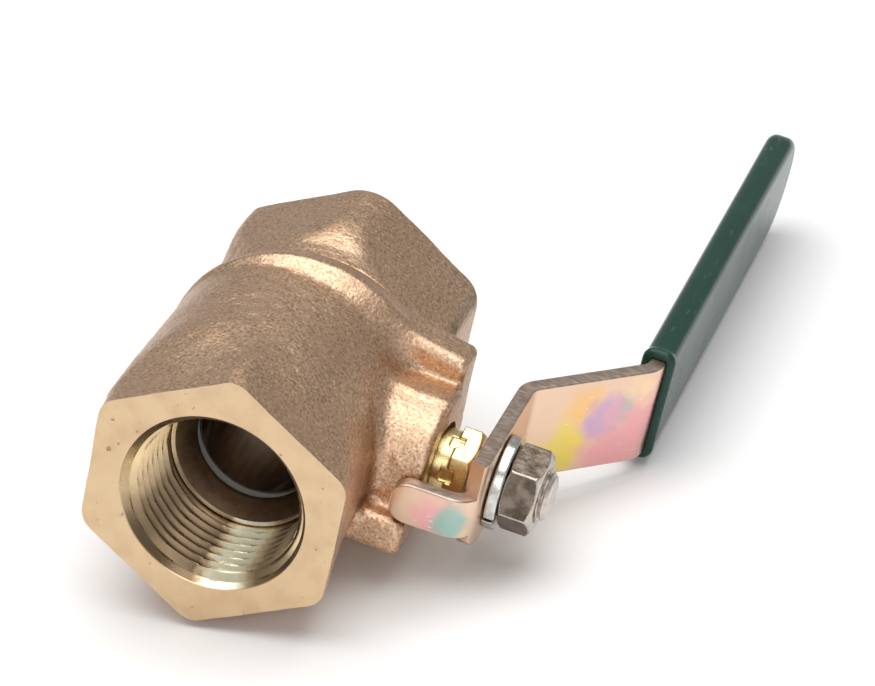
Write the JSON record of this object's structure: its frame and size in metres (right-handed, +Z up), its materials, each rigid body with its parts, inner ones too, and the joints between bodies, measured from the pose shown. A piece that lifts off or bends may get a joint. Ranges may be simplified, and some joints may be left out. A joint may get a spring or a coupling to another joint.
{
  "type": "ball valve",
  "caption": "Two-piece threaded bronze ball valve with a quarter-turn lever, cranked outwards and sleeved in green vinyl, lying on its side with the lever open.",
  "frame": {"origin": "centre of the ball, where the pipe axis meets the stem axis", "axes": "+Y along the pipe from inlet to outlet, +Z up as the valve lies at rest on its hexagons and its grip; the stem points towards +X and 12.3 degrees below it"},
  "size_m": [0.0889, 0.1917, 0.052],
  "materials": {
    "cast_bronze": "sand-cast bronze, brown and grainy, bright where machined",
    "ball_chrome": "polished hard chrome on brass",
    "stem_steel": "turned, dull",
    "ptfe": "matte white PTFE",
    "gland_brass": "turned yellow brass, satin",
    "plated_steel": "zinc plate with iridescent yellow chromate",
    "green_vinyl": "dipped vinyl, glossy dark green",
    "spring_steel": "bright spring steel",
    "nut_steel": "dark, slightly oily"
  },
  "bodies": {
    "valve_body": {"body": "cast_bronze", "end_connector": "cast_bronze", "body_seal": "ptfe", "inlet_seat": "ptfe", "outlet_seat": "ptfe", "stem_thrust_washer": "ptfe", "packing_ring_1": "ptfe", "packing_ring_2": "ptfe", "packing_ring_3": "ptfe", "packing_follower": "gland_brass", "packing_nut": "gland_brass"},
    "handle": {"lever": "plated_steel", "lever_grip": "green_vinyl", "stem": "stem_steel", "lock_washer": "spring_steel", "lever_nut": "nut_steel"},
    "ball": {"ball": "ball_chrome"}
  },
  "joints": [
    {"name": "lever_turn", "type": "hinge", "parent": "valve_body", "child": "handle", "pos_m": [0, 0, 0], "axis": [-0.9771, 0, 0.2127], "range_deg": [0, 90]},
    {"name": "ball_turn", "type": "hinge", "parent": "valve_body", "child": "ball", "pos_m": [0, 0, 0], "axis": [-0.9771, 0, 0.2127], "range_deg": [0, 90]}
  ],
  "couplings": [
    {"joint": "ball_turn", "follows": "lever_turn", "ratio": 1}
  ]
}
